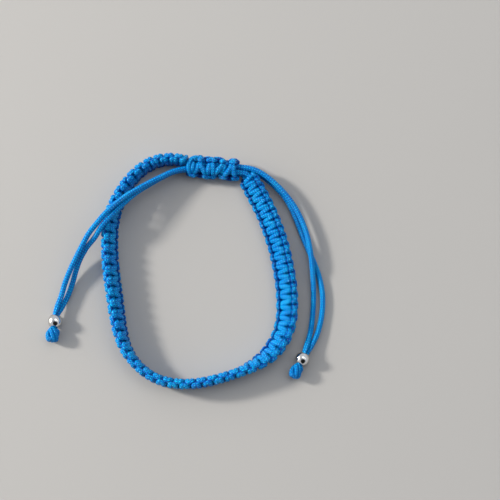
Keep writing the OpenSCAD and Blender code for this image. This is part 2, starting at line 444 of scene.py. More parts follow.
class Nodes:
    """A node tree, built node by node."""

    def __init__(self, tree: bpy.types.NodeTree) -> None:
        """Takes the tree that the nodes go into."""
        self.tree = tree

    def put(self, socket: bpy.types.NodeSocket, value: Any) -> None:
        """Links something to an input, or sets the input's own value.

        Args:
            socket: The input.
            value: A wrapped value or a socket to link, or else a plain value.
        """
        if isinstance(value, Value):
            value = value.socket
        if isinstance(value, bpy.types.NodeSocket):
            self.tree.links.new(value, socket)
        else:
            socket.default_value = value

    def node(self, kind: str, settings: dict[str, Any], inputs: dict[Any, Any]) -> bpy.types.Node:
        """Adds any node.

        Args:
            kind: The node's type.
            settings: Attributes set first.
            inputs: Values or links by input name or number.

        Returns:
            The node.
        """
        made = self.tree.nodes.new(kind)
        for name, value in settings.items():
            setattr(made, name, value)
        for key, value in inputs.items():
            self.put(made.inputs[key], value)
        return made

    def math(self, operation: str, *values: Any) -> Value:
        """A Math node's result."""
        made = self.node("ShaderNodeMath", {"operation": operation}, dict(enumerate(values)))
        return Value(self, made.outputs[0])

    def mix(self, share: Any, a: Any, b: Any) -> bpy.types.NodeSocket:
        """Colour a turned into colour b by a share."""
        return self.node("ShaderNodeMix", {"data_type": "RGBA"}, {0: share, 6: a, 7: b}).outputs[2]

    def noise(self, place: Any, scale: float, detail: float) -> Value:
        """Smooth noise round 0.5."""
        made = self.node("ShaderNodeTexNoise", {}, {"Vector": place, "Scale": scale, "Detail": detail})
        return Value(self, made.outputs["Fac"])


class Shader(Nodes):
    """A material with one surface shader."""

    def __init__(self, name: str) -> None:
        """Starts a material with only a surface shader and its output.

        Args:
            name: The material's name.
        """
        self.material = bpy.data.materials.new(name)
        self.material.use_nodes = True
        super().__init__(self.material.node_tree)
        self.tree.nodes.clear()
        self.surface = self.tree.nodes.new("ShaderNodeBsdfPrincipled")
        output = self.tree.nodes.new("ShaderNodeOutputMaterial")
        self.tree.links.new(self.surface.outputs["BSDF"], output.inputs["Surface"])

    def here(self) -> bpy.types.NodeSocket:
        """Object coordinates, in metres."""
        return self.node("ShaderNodeTexCoord", {}, {}).outputs["Object"]

    def bump(self, height: Value, strength: float, distance: float) -> bpy.types.NodeSocket:
        """A Bump node's normal, for a height of 1 that stands for a distance in metres."""
        inputs = {"Strength": strength, "Distance": distance, "Height": height}
        return self.node("ShaderNodeBump", {}, inputs).outputs[0]

    def finish(self, **inputs: Any) -> bpy.types.Material:
        """Fills in the surface shader.

        Args:
            inputs: Values or links by input name, with underscores for spaces.

        Returns:
            The material.
        """
        for name, value in inputs.items():
            self.put(self.surface.inputs[name.replace("_", " ")], value)
        return self.material


@dataclass(frozen=True)
class BraidedCordFinish:
    """Bright blue braided nylon.

    Attributes:
        name: The material's name.
        shade_colour: Colour of the painted shade in the grooves between yarns and between tied cords.
        body: Usual colour of a yarn.
        bright: Colour of the yarns where the painted light and the random tone are strongest.
        yarns: Yarns of one hand round the cord.
        yarn_rise: Length along the cord in which a yarn moves on by its own width, in millimetres.
        sag: How much lower a yarn lies where it goes under, as a share of its height.
        filaments: Ridges of the filaments across a yarn, and their height.
        relief: Depth of the grooves, in metres.
        weave_highlight: How much lighter the yarns of the upper hand are painted, as a highlight.
        clouds: How much a noise lightens the yarns, and the noise's scale and detail.
        crown: How much darker a yarn's foot is painted than its top, as shade.
        shade_falloff: How fast the painted groove shade gives way to the yarn's colour with its height.
        contact_shade: How much painted shade darkens a tied cord on the sides that press on its
            neighbours.
        contact_shade_sine: The sine of its turn at which that starts.
        facing_light: How much lighter, as painted light, a tied cord gets as its turn's sine grows, and
            the sine at which it has its usual lightness.
        roughness: Roughness without the noise, and what the noise adds.
        gloss: Level and tint of the shine.
    """

    name: str = "blue_braided_cord"
    shade_colour: tuple[float, float, float] = (0.0, 0.010, 0.19)
    body: tuple[float, float, float] = (0.0, 0.17, 0.70)
    bright: tuple[float, float, float] = (0.0, 0.62, 1.0)
    yarns: int = 7
    yarn_rise: float = 0.75
    sag: float = 0.45
    filaments: tuple[int, float] = (4, 0.06)
    relief: float = 0.00014
    weave_highlight: float = 0.6
    clouds: tuple[float, float, float] = (0.8, 260.0, 3.0)
    crown: float = 0.3
    shade_falloff: float = 1.8
    contact_shade: float = 0.0
    contact_shade_sine: float = 0.62
    facing_light: tuple[float, float] = (0.2, 0.6)
    roughness: tuple[float, float] = (0.15, 0.14)
    gloss: tuple[float, tuple[float, ...]] = (0.30, (0.50, 0.82, 1.0, 1.0))

    def yarn_height(self, number: Value, across: Value, along: Value) -> Value:
        """Height of a hand's yarns: a half sine across, a lower one along, and the filaments."""
        count, ridge = self.filaments
        return across * (1 - self.sag + self.sag * along) + (number * (2 * count * math.pi)).sine() * ridge

    def make(self) -> bpy.types.Material:
        """Builds the material.

        With u the turn round the cord and v the length, p = yarns u + v / rise and
        q = yarns u - v / rise number the yarns of the two hands. In each cell of p and q one hand
        lies on top, by turns, and is painted lighter as a highlight, while each yarn's foot and the
        grooves between yarns get painted shade. A tied cord faces out of its knot where the sine of
        its turn is 1; it is painted lighter as that sine grows, and painted shade darkens it, up to
        crevice, as that sine falls by 1 from contact_shade_sine.

        Returns:
            The material.
        """
        shader = Shader(self.name)
        split = shader.node("ShaderNodeSeparateXYZ", {}, {
            0: shader.node("ShaderNodeUVMap", {"uv_map": BRAID_MAP}, {}).outputs[0],
        })
        u, v = Value(shader, split.outputs[0]), Value(shader, split.outputs[1])
        p = u * self.yarns + v / self.yarn_rise
        q = u * self.yarns - v / self.yarn_rise
        over = (p.floor() + q.floor()) % 2.0
        across_p = (p.fraction() * math.pi).sine()
        across_q = (q.fraction() * math.pi).sine()
        on_top, crossing = self.yarn_height(p, across_p, across_q), self.yarn_height(q, across_q, across_p)
        height = on_top * over + crossing * (1 - over)
        cloudy, scale, detail = self.clouds
        tone = shader.noise(shader.here(), scale, detail)
        # Painted light and shade of a yarn: the upper hand painted lighter as a highlight, each yarn's
        # foot painted darker as shade, plus a random tone.
        lit = over * self.weave_highlight + tone * cloudy + height * self.crown - self.crown - self.weave_highlight / 2
        # Painted shade: the shade colour fills the grooves between yarns, up to a height set by opening.
        unshaded = (height * self.shade_falloff).clamped()
        # On tied cords: painted light on the sides that face out of the knot, and painted shade on the
        # sides pressed against neighbouring cords.
        if self.contact_shade:
            out_sine = (u * (2 * math.pi)).sine()
            lighter, usual = self.facing_light
            lit = lit + (out_sine - usual) * lighter
            unshaded = unshaded * (1 - self.contact_shade * (self.contact_shade_sine - out_sine).clamped())
        yarn_colour = shader.mix(lit.clamped(), (*self.body, 1), (*self.bright, 1))
        smooth, rougher = self.roughness
        level, tint = self.gloss
        return shader.finish(
            Base_Color=shader.mix(unshaded, (*self.shade_colour, 1), yarn_colour),
            Roughness=smooth + rougher * tone, Normal=shader.bump(height, 1.0, self.relief),
            Specular_IOR_Level=level, Specular_Tint=tint,
        )


@dataclass(frozen=True)
class SteelFinish:
    """Polished steel with faint handling marks.

    Attributes:
        name: The material's name.
        colour: Colour of the clean metal.
        worn: Tone of handled places, as a share of that.
        clouds: Scale and detail of the noise that parts the two.
        marks: Scale and detail of the fine marks' noise, and their strength and depth in metres.
        roughness: Least roughness, and what the square of the noise adds.
    """

    name: str = "polished_steel"
    colour: tuple[float, float, float] = (0.74, 0.73, 0.71)
    worn: float = 0.82
    clouds: tuple[float, float] = (900.0, 4.0)
    marks: tuple[float, float, float, float] = (6000.0, 2.0, 0.15, 0.00002)
    roughness: tuple[float, float] = (0.08, 0.16)

    def make(self) -> bpy.types.Material:
        """Builds the material, a bright metal whose roughness and tone wander a little.

        Returns:
            The material.
        """
        shader = Shader(self.name)
        here = shader.here()
        cloud = shader.noise(here, *self.clouds)
        scale, detail, strength, depth = self.marks
        worn = tuple(self.worn * c for c in self.colour)
        smooth, rougher = self.roughness
        return shader.finish(
            Base_Color=shader.mix(cloud, (*worn, 1), (*self.colour, 1)),
            Metallic=1.0, Roughness=smooth + rougher * cloud * cloud,
            Normal=shader.bump(shader.noise(here, scale, detail), strength, depth),
        )


@dataclass(frozen=True)
class FloorFinish:
    """Plain pale matt floor.

    Attributes:
        name: The material's name.
        colour: Its lightest colour.
        dark: Its darkest tone, as a share of that.
        clouds: Scale and detail of the noise that parts the two.
        roughness: Its roughness.
    """

    name: str = "pale_floor"
    colour: tuple[float, float, float] = (0.45, 0.437, 0.418)
    dark: float = 0.96
    clouds: tuple[float, float] = (9.0, 2.0)
    roughness: float = 0.85

    def make(self) -> bpy.types.Material:
        """Builds the material, one pale tone that wanders by a few hundredths.

        Returns:
            The material.
        """
        shader = Shader(self.name)
        cloud = shader.noise(shader.here(), *self.clouds)
        darker = tuple(self.dark * c for c in self.colour)
        colour = shader.mix(cloud, (*darker, 1), (*self.colour, 1))
        return shader.finish(Base_Color=colour, Roughness=self.roughness)


def attach(
    piece: bpy.types.Object, slot: Slot, material: bpy.types.Material, *nodes: str,
) -> bpy.types.Object:
    """Dresses a piece, fixes it to the body and lets it stand for its CAD nodes.

    Args:
        piece: The finished mesh object.
        slot: The record's material slot. Not used.
        material: The finish.
        nodes: CAD nodes that the piece stands for.

    Returns:
        The piece.
    """
    piece.data.materials.append(material)
    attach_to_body(piece, ROOT)
    if nodes:
        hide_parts(*nodes)
    LOG.info("%s: %d faces", piece.name, len(piece.data.polygons))
    return piece


@dataclass(frozen=True)
class SquareKnot:
    """Path of the two working cords through one square knot.

    The leading cord crosses every front bar and the other one, which is the same path turned half
    round the row, every back bar. Each half knot is three half twists of the two about each other.
    Places are across the row, along it and towards its front.

    Attributes:
        half: Length of a half knot.
        lobe: Place of an edge lobe's middle, across and front.
        flank: Place where a lobe begins to turn in, across and along from its middle.
        cross: Place where the cords cross beside a lobe, across, along and front.
        inner: Place where a cord dives past the cores, across, along and front.
        bar: Place of a bar's shoulder, across, along and front.
        crown: How far the bar's middle stands in front.
        sizes: Half width and half thickness at lobe, crossing, dive, shoulder and crown.
    """

    half: float
    lobe: tuple[float, float]
    flank: tuple[float, float]
    cross: tuple[float, float, float]
    inner: tuple[float, float, float]
    bar: tuple[float, float, float]
    crown: float
    sizes: tuple[tuple[float, float], ...]

    def half_rows(self) -> Array:
        """Rows of the leading cord through a half knot, from a left lobe's middle.

        Returns:
            Rows of across, along, front, out angle in degrees, half width and half thickness.
        """
        (la, lf), (ca, cy, cf), (ia, iy, if_), (ba, by, bf) = self.lobe, self.cross, self.inner, self.bar
        lobe, cross, dive, shoulder, crown = self.sizes
        fa, fy = self.flank
        return np.array([
            (-la, -self.half / 2, -lf, 225, *lobe),
            (-fa, fy - self.half / 2, -lf, 222, *lobe),
            (-ca, cy, -cf, 200, *cross),
            (-ia, iy, if_, 165, *dive),
            (-ba, by, bf, 112, *shoulder),
            (0, 0, self.crown, 90, *crown),
            (ba, -by, bf, 68, *shoulder),
            (ia, -iy, if_, 15, *dive),
            (ca, -cy, -cf, -20, *cross),
            (fa, self.half / 2 - fy, -lf, -42, *lobe),
        ])

    def rows(self, half_knots: int, leading: bool) -> Array:
        """Rows of one working cord through a whole row of half knots.

        Args:
            half_knots: How many half knots.
            leading: True for the cord that crosses the front.

        Returns:
            Rows of across, along, front, out angle, half width and half thickness, with the last
            lobe's middle as the last row.
        """
        made = []
        for n in range(half_knots + 1):
            rows = self.half_rows()
            if n == half_knots:
                rows = rows[:1]
            if n % 2:
                rows[:, 0] *= -1
                rows[:, 3] = 180 - rows[:, 3]
            rows[:, 1] += (n + 0.5) * self.half
            made.append(rows)
        out = np.concatenate(made)
        if not leading:
            out[:, [0, 2]] *= -1
            out[:, 3] += 180
        return out


def nearest_turn(angle: Array, other: float) -> Array:
    """Angles moved by whole turns to where they come nearest to another, in degrees."""
    return angle + 360 * np.round((other - angle) / 360)


@dataclass
class KnotRow(ABC):
    """Two working cords tied in a row of square knots. Sizes are in millimetres.

    Attributes:
        finish: The cords' material.
        name: Start of the pieces' names.
        node: The CAD node that the front cord stands for.
        wander: Size of the moves of hand-tied knots.
        seeds: Their seeds, for the front and the back cord.
        rings: Rings between two rows of a cord.
        sides: Points on a ring.
    """

    finish: bpy.types.Material
    name: str
    node: str
    wander: float
    seeds: tuple[int, int]
    rings: int
    sides: int

    @abstractmethod
    def place(self, s: Array) -> tuple[Array, Array, Array]:
        """Middles, ways across and ways to the front at lengths along the row."""

    @abstractmethod
    def cord_rows(self, leading: bool) -> Array:
        """A working cord's across, along, front, out angle, half width and half thickness."""

    def extras(self) -> list[Tube]:
        """Tubes that are one piece with the front cord."""
        return []

    def working_cord(self, leading: bool) -> Tube:
        """Carries a working cord's rows onto the row of knots.

        A row's place becomes middle + across a + front f at its length along the route, and its
        out angle turns in the same plane. Each row is moved a little at random.

        Args:
            leading: True for the cord that crosses the front.

        Returns:
            The cord with round tips.
        """
        rows = self.cord_rows(leading)
        random = np.random.default_rng(self.seeds[0 if leading else 1])
        reach = 2 * self.wander
        rows[:, :3] += random.normal(0, self.wander, (len(rows), 3)).clip(-reach, reach)
        rows[:, 4:] *= 1 + random.normal(0, self.wander, (len(rows), 2))
        u = np.linspace(0, len(rows) - 1, (len(rows) - 1) * self.rings + 1)
        fine = through(rows, u)
        middle, across, front = self.place(fine[:, 1])
        angle = np.radians(fine[:, 3])[:, None]
        return Tube(
            middle + across * fine[:, [0]] + front * fine[:, [2]],
            across * np.cos(angle) + front * np.sin(angle),
            fine[:, 4], fine[:, 5],
        ).rounded()

    def build(self) -> list[bpy.types.Object]:
        """Makes the working cords' pieces.

        Returns:
            The front cord and the back cord.
        """
        pieces = []
        for word, leading in (("front", True), ("back", False)):
            skin = Skin(f"{self.name}_{word}_cord")
            for tube in (self.working_cord(leading), *(self.extras() if leading else ())):
                skin.tube(tube, self.sides)
            nodes = (self.node,) if leading else ()
            pieces.append(attach(skin.piece(), Slot.CORD, self.finish, *nodes))
        return pieces


@dataclass
class MacrameBand(KnotRow):
    """The band: two working cords tied in square knots round two flat cores.

    Attributes:
        knots: Number of square knots.
        lead_in: Length of the band before the first knot, less than 0 where the knots start
            before the route does.
        lead_out: Length after the last knot, in the same way.
        pitches: For each share of the band's length, the length that a knot takes there, as a
            share of the usual one, and how far each half knot leans to its partner: the first
            knots are pulled tighter.
        narrowing: Power of a knot's pitch that its cords' width follows.
        first_lobe: Width of the first lobe, as a share of the usual one, and the furthest that
            the first rows stand in front.
        clearance: Room under the lowest cord, for the moves of hand-tied knots.
        core_place: A core's place across the band.
        core_size: Its half width and half thickness.
        core_cut: How far it stops before the band's ends.
        core_rings, core_sides: Its rings, and points on a ring.
        length: Length of the route.
        knot: Path through one knot.
    """

    name: str = "band"
    node: str = "macrame_band"
    wander: float = 0.025
    seeds: tuple[int, int] = (3, 4)
    rings: int = 5
    sides: int = 16
    knots: int = 56
    lead_in: float = -0.4
    lead_out: float = -0.1
    pitches: tuple[tuple[float, float, float], ...] = (
        (0.0, 0.88, 0.0), (0.15, 0.88, 0.0), (0.21, 1.03, 0.0), (0.5, 1.08, 0.0), (0.62, 1.08, 0.10),
        (0.8, 1.05, 0.10), (0.9, 1.0, 0.05), (1.0, 0.98, 0.0),
    )
    narrowing: float = 0.7
    first_lobe: tuple[float, float] = (0.86, 0.08)
    clearance: float = 0.11
    core_place: float = 0.72
    core_size: tuple[float, float] = (0.70, 0.42)
    core_cut: float = 0.2
    core_rings: int = 420
    core_sides: int = 10
    length: float = field(init=False)
    knot: SquareKnot = field(init=False)

    def __post_init__(self) -> None:
        """Measures the route and fits the knots to its length."""
        steps = 40
        self._u = np.linspace(0, len(BAND_ROUTE) - 1, (len(BAND_ROUTE) - 1) * steps + 1)
        self._s = run_lengths(through(BAND_ROUTE[:, :2], self._u))
        self.length = float(self._s[-1])
        half = (self.length - self.lead_in - self.lead_out) / (2 * self.knots)
        self.knot = SquareKnot(
            half=half, lobe=(2.40, 0.37), flank=(2.40, 0.46), cross=(2.18, -0.08, 0.68),
            inner=(1.52, 0.37, 0.26), bar=(1.00, 0.19, 0.80), crown=0.97,
            sizes=((0.74, 0.74), (0.71, 0.64), (0.64, 0.62), (0.74, 0.53), (0.78, 0.53)),
        )

    def tied(self, rows: Array) -> Array:
        """Moves evenly spaced rows along to where the knots were pulled tight.

        The length taken up to a place is the running sum of the pitches there, scaled so that
        all knots together fill the band.

        Args:
            rows: Rows of a working cord whose half knots are all of one length.

        Returns:
            The rows, moved along the band, with cords narrower where they are closer.
        """
        share, pitch, lean = np.array(self.pitches).T
        steps = 400
        even = np.linspace(0, 1, steps)
        taken = np.cumsum(1 / np.interp(even, share, pitch))
        taken = (taken - taken[0]) / (taken[-1] - taken[0])
        run = self.length - self.lead_in - self.lead_out
        inside = (rows[:, 1] - self.lead_in) / run
        beyond = inside - np.clip(inside, 0, 1)
        at = np.interp(inside, taken, even)
        moved = rows.copy()
        turn = math.pi * ((rows[:, 1] - self.lead_in) / self.knot.half - 0.5)
        moved[:, 1] = self.lead_in + run * (at + beyond) - np.interp(at, share, lean) * np.cos(turn)
        moved[:, 4] *= np.interp(at, share, pitch) ** self.narrowing
        return moved

    def place(self, s: Array) -> tuple[Array, Array, Array]:
        """Middle, across and front of the band at lengths along it.

        Beyond its ends the route runs straight on. With the face rolled by r, across is the way
        turned a quarter left times cos(r) plus up times sin(r), and front is way x across.

        Args:
            s: Lengths along the band, in millimetres.

        Returns:
            Three arrays of rows.
        """
        inside = np.clip(s, 0, self.length)
        u = np.interp(inside, self._s, self._u)
        here = through(BAND_ROUTE, u)
        step = 0.05
        last = len(BAND_ROUTE) - 1
        behind, ahead = (through(BAND_ROUTE, np.clip(u + move, 0, last)) for move in (-step, step))
        way = unit((ahead - behind)[:, :2])
        roll = np.radians(here[:, 2])
        across = np.stack([-way[:, 1] * np.cos(roll), way[:, 0] * np.cos(roll), np.sin(roll)], 1)
        front = np.cross(np.pad(way, ((0, 0), (0, 1))), across)
        rest = self.rest_height(roll)
        middle = np.concatenate([here[:, :2] + way * (s - inside)[:, None], rest[:, None]], 1)
        return middle, across, front

    def rest_height(self, roll: Array) -> Array:
        """Height of the band's middle that lays its lowest lobe or bar on the surface.

        A part of a knot that lies across by a and behind by f has its middle a sin(r) + f cos(r)
        below the band's, and its own radius reaches further.

        Args:
            roll: Roll of the face, in radians.

        Returns:
            Heights in millimetres.
        """
        knot = self.knot
        lobe, cross, _, _, crown = knot.sizes
        edges = [
            across * np.sin(roll) + front * np.cos(roll) + radius
            for across, front, radius in (
                (*knot.lobe, max(lobe)), (knot.cross[0], knot.cross[2], cross[1]),
                (0.0, knot.crown, crown[1]),
            )
        ]
        return np.maximum.reduce(edges) + self.clearance

    def cord_rows(self, leading: bool) -> Array:
        """Rows of a working cord, from its start behind the cores to its cut end tucked in behind.

        Args:
            leading: True for the cord that crosses the front.

        Returns:
            Rows of across, along, front, out angle in degrees, half width and half thickness.
        """
        rows = self.knot.rows(2 * self.knots, leading)
        narrow, low = self.first_lobe
        rows[:2, 0] *= narrow
        rows[:3, 2] = np.minimum(rows[:3, 2], low)
        rows[:, 1] += self.lead_in
        hand = -1 if leading else 1
        lf = self.knot.lobe[1] * hand
        end = self.length - self.lead_out
        head = np.array([
            (hand * 0.05, self.lead_in - 0.60, -0.95, 270, 0.62, 0.50),
            (hand * 1.10, self.lead_in - 0.58, -0.92, 270 + 25 * hand, 0.62, 0.50),
            (hand * 1.82, self.lead_in - 0.42, 0.5 * lf - 0.3, 270 + 70 * hand, 0.60, 0.58),
        ])
        tail = np.array([
            (hand * 2.15, end + 0.40, 0.5 * lf - 0.3, 270 + 70 * hand, 0.62, 0.60),
            (hand * 1.25, end + 0.50, -0.98, 270 + 25 * hand, 0.60, 0.50),
            (hand * 0.30, end + 0.45, -1.06, 270, 0.60, 0.50),
            (hand * -0.60, end + 0.35, -1.06, 270, 0.60, 0.50),
        ])
        head[:, 3] = nearest_turn(head[:, 3], rows[0, 3])
        tail[:, 3] = nearest_turn(tail[:, 3], rows[-1, 3])
        return self.tied(np.concatenate([head, rows, tail]))

    def core(self, hand: int) -> Tube:
        """One of the two flattened cores inside the band.

        Args:
            hand: -1 or 1 for the core's side.

        Returns:
            The core with flat ends.
        """
        s = np.linspace(self.core_cut, self.length - self.core_cut, self.core_rings)
        middle, across, front = self.place(s)
        wide, thick = (np.full(len(s), size) for size in self.core_size)
        return Tube(middle + across * self.core_place * hand, front, wide, thick)

    def build(self) -> list[bpy.types.Object]:
        """Makes the band's pieces.

        Returns:
            The working cords and the cores.
        """
        pieces = super().build()
        skin = Skin(f"{self.name}_cores")
        for part, hand in zip(HALVES, (-1, 1)):
            skin.tube(self.core(hand), self.core_sides, part)
        return [*pieces, attach(skin.piece(), Slot.CORD, self.finish)]


@dataclass
class SlidingKnot(KnotRow):
    """The closure: two working cords tied by hand in square knots round the four core ends.

    Attributes:
        roll: How far the knots' front is turned from up towards the wrist hollow, in degrees.
        half: Length of a half knot before the cords are pulled tight.
        half_knots: For each half knot, its place along the closure and its lean, as a shift along
            for each step across.
        girths: Places along the closure and the knots' reach there towards the outer and the
            inner edge, as shares of the usual one.
        narrowing: Power of a half knot's spacing that its cords' width follows.
        end_wrap: Points of the cord that starts at the left mouth, along, outwards and up.
        wrap_middle: Place along the closure that this cord turns its back to.
        wrap_thick: Its thickness as a share of the cord's.
    """

    name: str = "sliding_knot"
    node: str = "sliding_knot"
    wander: float = 0.07
    seeds: tuple[int, int] = (8, 9)
    rings: int = 9
    sides: int = 24
    roll: float = 24.0
    half: float = 1.45
    half_knots: tuple[tuple[float, float], ...] = (
        (1.8, 0.24), (3.0, 0.34), (4.5, -0.30), (6.3, -0.04), (7.5, 0.04), (8.9, 0.46),
        (10.3, 0.34), (11.8, 0.42), (13.3, -0.02),
    )
    girths: tuple[tuple[float, float, float], ...] = (
        (0.0, 0.84, 0.80), (3.2, 1.08, 0.94), (5.2, 0.92, 0.98), (7.2, 1.10, 1.02), (8.8, 1.0, 0.86),
        (10.0, 0.70, 0.66), (12.5, 1.12, 1.08), (14.6, 0.82, 0.84),
    )
    narrowing: float = 0.6
    end_wrap: tuple[tuple[float, float, float], ...] = (
        (4.4, 1.5, 1.4), (3.3, 2.25, 1.5), (2.0, 2.15, 1.75), (1.0, 1.35, 2.05), (0.65, 0.2, 2.1),
        (0.65, -0.8, 1.75), (0.9, -1.6, 1.0), (1.2, -1.9, 0.0), (1.5, -1.5, -1.0),
    )
    wrap_middle: float = 1.5
    wrap_thick: float = 0.92

    @staticmethod
    def axes() -> tuple[Array, Array, Array]:
        """The sliding knot's own directions, turned from X and Y by its angle.

        Returns:
            The ways along, outwards and up.
        """
        turn = math.radians(SLIDE_TURN)
        return (
            np.array([math.cos(turn), math.sin(turn), 0]),
            np.array([-math.sin(turn), math.cos(turn), 0]),
            np.array([0.0, 0, 1]),
        )

    @classmethod
    def point(cls, u: float, v: float, w: float) -> Array:
        """A place in the sliding knot, u along it, v outwards and w up from its axis."""
        along, out, up = cls.axes()
        return np.array([*SLIDE_MOUTH, SLIDE_MID]) + along * u + out * v + up * w

    def place(self, s: Array) -> tuple[Array, Array, Array]:
        """Middle, across and front at lengths along the sliding knot.

        Args:
            s: Lengths from the left mouth, in millimetres.

        Returns:
            Three arrays of rows.
        """
        along, out, up = self.axes()
        roll = math.radians(self.roll)
        across = out * math.cos(roll) + up * math.sin(roll)
        front = up * math.cos(roll) - out * math.sin(roll)
        middle = np.array([*SLIDE_MOUTH, SLIDE_MID]) + s[:, None] * along
        return middle, np.tile(across, (len(s), 1)), np.tile(front, (len(s), 1))

    def tied(self, rows: Array) -> Array:
        """Moves evenly spaced rows to where the half knots were pulled tight.

        Args:
            rows: Rows of a working cord whose half knots are evenly spaced.

        Returns:
            The rows with places and girths read between the table's half knots, and with cords
            narrower where the half knots are closer.
        """
        half = self.half
        places, leans = np.array(self.half_knots).T
        middles = (np.arange(len(places)) + 0.5) * half
        at = np.concatenate([[0.0], middles, [middles[-1] + half / 2]])
        known = np.concatenate([[places[0] - half / 2], places, [places[-1] + half / 2]])
        moved = rows.copy()
        moved[:, 1] = np.interp(rows[:, 1], at, known)
        moved[:, 4] *= np.interp(rows[:, 1], middles, np.gradient(places) / half) ** self.narrowing
        at, outer, inner = np.array(self.girths).T
        outer, inner = np.interp(moved[:, 1], at, outer), np.interp(moved[:, 1], at, inner)
        moved[:, 0] *= np.where(rows[:, 0] > 0, outer, inner)
        moved[:, 2] *= np.minimum(outer, 1.0)
        moved[:, 1] += rows[:, 0] * np.interp(rows[:, 1], middles, leans)
        return moved

    def cord_rows(self, leading: bool) -> Array:
        """Rows of a working cord, from the left mouth to the right one.

        Args:
            leading: True for the cord that crosses the front.

        Returns:
            Rows of across, along, front, out angle in degrees, half width and half thickness.
        """
        knot = SquareKnot(
            half=self.half, lobe=(2.36, 0.66), flank=(2.36, 0.46), cross=(2.20, -0.06, 1.18),
            inner=(1.64, 0.38, 0.84), bar=(0.92, 0.14, 1.86), crown=2.02,
            sizes=((0.90, 0.80), (0.82, 0.72), (0.70, 0.68), (0.74, 0.62), (0.78, 0.62)),
        )
        return self.tied(knot.rows(len(self.half_knots), leading))

    def extras(self) -> list[Tube]:
        """The turn of cord at the left mouth, with its back to the closure's middle line.

        Returns:
            A list of this one tube.
        """
        line = evenly(np.array([self.point(*row) for row in self.end_wrap]), RING_STEP)
        out = line - self.point(self.wrap_middle, 0, 0)
        size = np.full(len(line), CORD_D / 2)
        return [Tube(line, out, size, self.wrap_thick * size).rounded()]


@dataclass
class CorePairs:
    """The core ends where they run from the band's ends through the sliding knot.

    Sizes are in millimetres.

    Attributes:
        finish: The cords' material.
        band: The band that they come out of.
        hidden: Length of a cord inside the band.
        straight: Length that runs straight out of the band's start.
        into: How far inside its mouth a cord is straight: the right mouth, then the left one.
        stop: How far before the far mouth it ends.
    """

    finish: bpy.types.Material
    band: MacrameBand
    hidden: float = 1.6
    straight: float = 0.1
    into: tuple[float, float] = (2.0, 1.0)
    stop: float = 0.6

    def band_end(self, s: float, inwards: float) -> tuple[Array, Array, Array]:
        """Middle of the band at one end, its way across and its way out.

        Args:
            s: The end's place along the band.
            inwards: A short step from there into the band.

        Returns:
            A point and two directions.
        """
        middle, across, _ = self.band.place(np.array([s, s + inwards]))
        return middle[0], across[0], unit(middle[0] - middle[1])

    def inner_route(self, level: float) -> list[Array]:
        """Route of a cord from the band's start, round a bend and in at the right mouth.

        Args:
            level: Its height above the pair's middle.

        Returns:
            Points to run through.
        """
        middle, across, way = self.band_end(0.0, 0.5)
        along, _, up = SlidingKnot.axes()
        leave = middle + way * self.straight
        bend = (leave + SlidingKnot.point(SLIDE_LEN, -CORE_OFF, 0) + way + along) / 2
        return [
            middle - way * self.hidden + across * level,
            leave + across * level,
            bend + unit(across + up) * level,
            SlidingKnot.point(SLIDE_LEN, -CORE_OFF, level),
            SlidingKnot.point(SLIDE_LEN - self.into[0], -CORE_OFF, level),
            SlidingKnot.point(self.stop, -CORE_OFF, level),
        ]

    def outer_route(self, level: float) -> list[Array]:
        """Route of a cord from the band's end straight in at the left mouth.

        Args:
            level: Its height above the pair's middle.

        Returns:
            Points to run through.
        """
        middle, across, way = self.band_end(self.band.length, -0.5)
        return [
            middle - way * self.hidden + across * level,
            middle + across * level,
            SlidingKnot.point(self.into[1], CORE_OFF, level),
            SlidingKnot.point(SLIDE_LEN - self.stop, CORE_OFF, level),
        ]

    def build(self) -> list[bpy.types.Object]:
        """Makes the two pairs.

        Returns:
            The pieces.
        """
        pieces = []
        for name, node, route in (
            ("core_pair_from_band_start", "core_pair_inner", self.inner_route),
            ("core_pair_from_band_end", "core_pair_outer", self.outer_route),
        ):
            skin = Skin(name)
            for part, level in zip(HALVES, (-CORE_OFF, CORE_OFF)):
                line = evenly(np.array(route(level)), RING_STEP)
                skin.tube(round_tube(line, CORD_D / 2), RING_SIDES, part)
            pieces.append(attach(skin.piece(), Slot.CORD, self.finish, node))
        return pieces


@dataclass(frozen=True)
class BeadPlace:
    """Where a bead lies and the way that its hole points, from the cords to the knot.

    Attributes:
        x, y: Its middle's place, in millimetres.
        turn: The way that its hole points, in degrees from +X towards +Y.
    """

    x: float
    y: float
    turn: float

    def axes(self) -> tuple[Array, Array, Array, Array]:
        """The bead's middle and its own directions.

        Returns:
            The middle, and the ways along its hole, level across it and up.
        """
        a = math.radians(self.turn)
        return (
            np.array([self.x, self.y, BEAD_D / 2]),
            np.array([math.cos(a), math.sin(a), 0]),
            np.array([math.sin(a), -math.cos(a), 0]),
            np.array([0.0, 0, 1]),
        )

    def pair(self, u: float, level: float, off: float) -> Array:
        """Place of one of the two cords that run through the bead.

        Args:
            u: Length along the hole from the bead's middle.
            level: 1 for the upper cord and -1 for the lower.
            off: Distance from the hole's axis.

        Returns:
            A point in millimetres.
        """
        middle, way, side, up = self.axes()
        twist = math.radians(PAIR_TWIST)
        return middle + way * u + (side * math.cos(twist) + up * math.sin(twist)) * level * off


BEAD_LEFT = BeadPlace(-39.9, -14.2, -99)
BEAD_RIGHT = BeadPlace(28.4, -24.6, -118)


@dataclass
class EndPiece:
    """A piece that ends at a bead or behind it. Sizes are in millimetres.

    Attributes:
        name: The piece's name.
        node: The CAD node that it stands for.
        place: Where the bead lies.
        finish: The piece's material.
    """

    name: str
    node: str
    place: BeadPlace
    finish: bpy.types.Material


